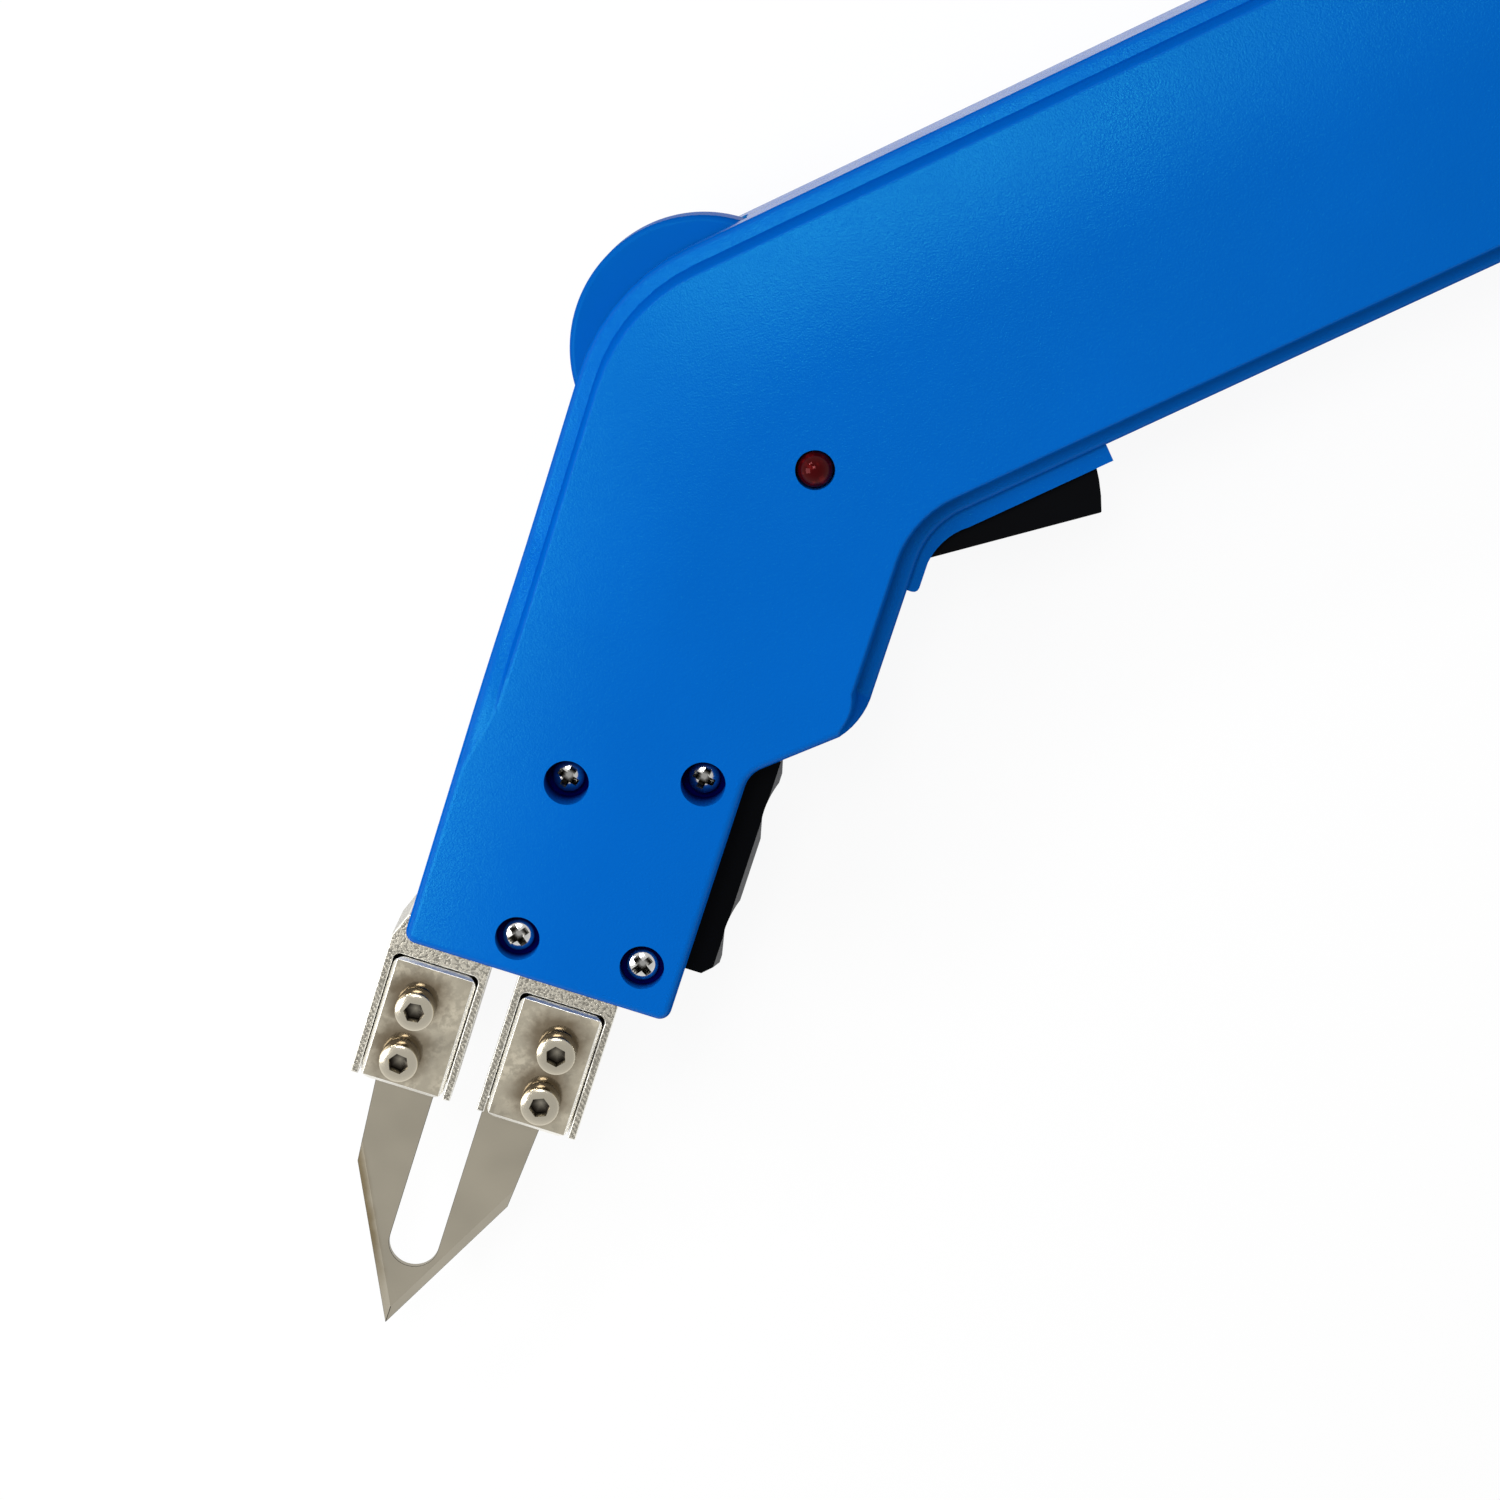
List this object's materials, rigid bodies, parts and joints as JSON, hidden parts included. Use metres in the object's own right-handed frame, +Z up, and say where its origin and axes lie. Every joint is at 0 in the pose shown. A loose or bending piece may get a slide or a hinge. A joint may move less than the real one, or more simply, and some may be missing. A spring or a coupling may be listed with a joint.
{
  "type": "electric hot knife",
  "caption": "Bent-handle electric hot knife with stepped two-piece housing, pressed trigger, edge thumbwheel, lamp, twin clamped carriers and a forked pointed blade.",
  "frame": {"origin": "elbow of the tool, where the handle and nose centre lines cross, on the flat right side panel that it lies on", "axes": "+X rearward along the handle, +Y towards the top of the tool where the thumbwheel is, +Z up from the resting face to the left side panel with the lamp"},
  "size_m": [0.2347, 0.125, 0.039],
  "materials": {
    "housing_blue": "smooth satin moulded plastic",
    "wheel_blue": "smooth satin moulded plastic",
    "lamp_red": "translucent dome",
    "black_plastic": "satin moulded plastic",
    "gland_rubber": "matte rubber",
    "plated_bar": "milled and nickel plated",
    "polished_plate": "polished nickel plate",
    "screw_steel": "bright zinc plate",
    "blade_steel": "ground steel with heat tint at the edge",
    "copper": "bare copper",
    "core_steel": "varnished laminations",
    "board_green": "glass fibre board",
    "brown_resin": "moulded insulating resin",
    "cream_plastic": "plain moulding",
    "grey_metal": "pressed metal case",
    "yellow_film": "epoxy box"
  },
  "bodies": {
    "body": {"left_housing": "housing_blue", "right_housing": "housing_blue", "nose_screws": "screw_steel", "rear_screws": "screw_steel", "potentiometer": "grey_metal", "control_board": "board_green", "triac": "black_plastic", "capacitor": "yellow_film", "indicator_lamp": "lamp_red", "trigger_pin": "screw_steel", "switch_body": "black_plastic", "transformer_core": "core_steel", "transformer_bobbin": "cream_plastic", "primary_coil": "copper", "secondary_strap": "copper", "transformer_bolts": "screw_steel", "insulator_left": "brown_resin", "insulator_right": "brown_resin", "carrier_upper": "plated_bar", "carrier_lower": "plated_bar", "strap_screws": "screw_steel", "clamp_plate_upper": "polished_plate", "clamp_plate_lower": "polished_plate", "clamp_screws": "screw_steel", "blade": "blade_steel", "guide_shoe": "black_plastic", "shoe_screws": "screw_steel", "cable_gland": "gland_rubber", "cord_clamp": "cream_plastic", "cord_clamp_screws": "screw_steel"},
    "trigger": {"trigger": "black_plastic"},
    "plunger": {"switch_plunger": "cream_plastic"},
    "wheel": {"temperature_wheel": "wheel_blue", "potentiometer_shaft": "screw_steel"}
  },
  "joints": [
    {"name": "trigger_press", "type": "hinge", "parent": "body", "child": "trigger", "pos_m": [0.0205, -0.0215, 0.019], "axis": [0, 0, 1], "range_deg": [0, 8], "stiffness_Nm_per_rad": 0.6, "springref_deg": -6.88},
    {"name": "plunger_press", "type": "slide", "parent": "body", "child": "plunger", "axis": [0, 1, 0], "range_m": [0, 0.0023]},
    {"name": "wheel_turn", "type": "hinge", "parent": "body", "child": "wheel", "pos_m": [0.0036, 0.0099, 0.019], "axis": [0, 0, 1], "range_deg": [-135, 135]}
  ],
  "couplings": [
    {"joint": "plunger_press", "follows": "trigger_press", "m_per_rad": 0.0159}
  ]
}
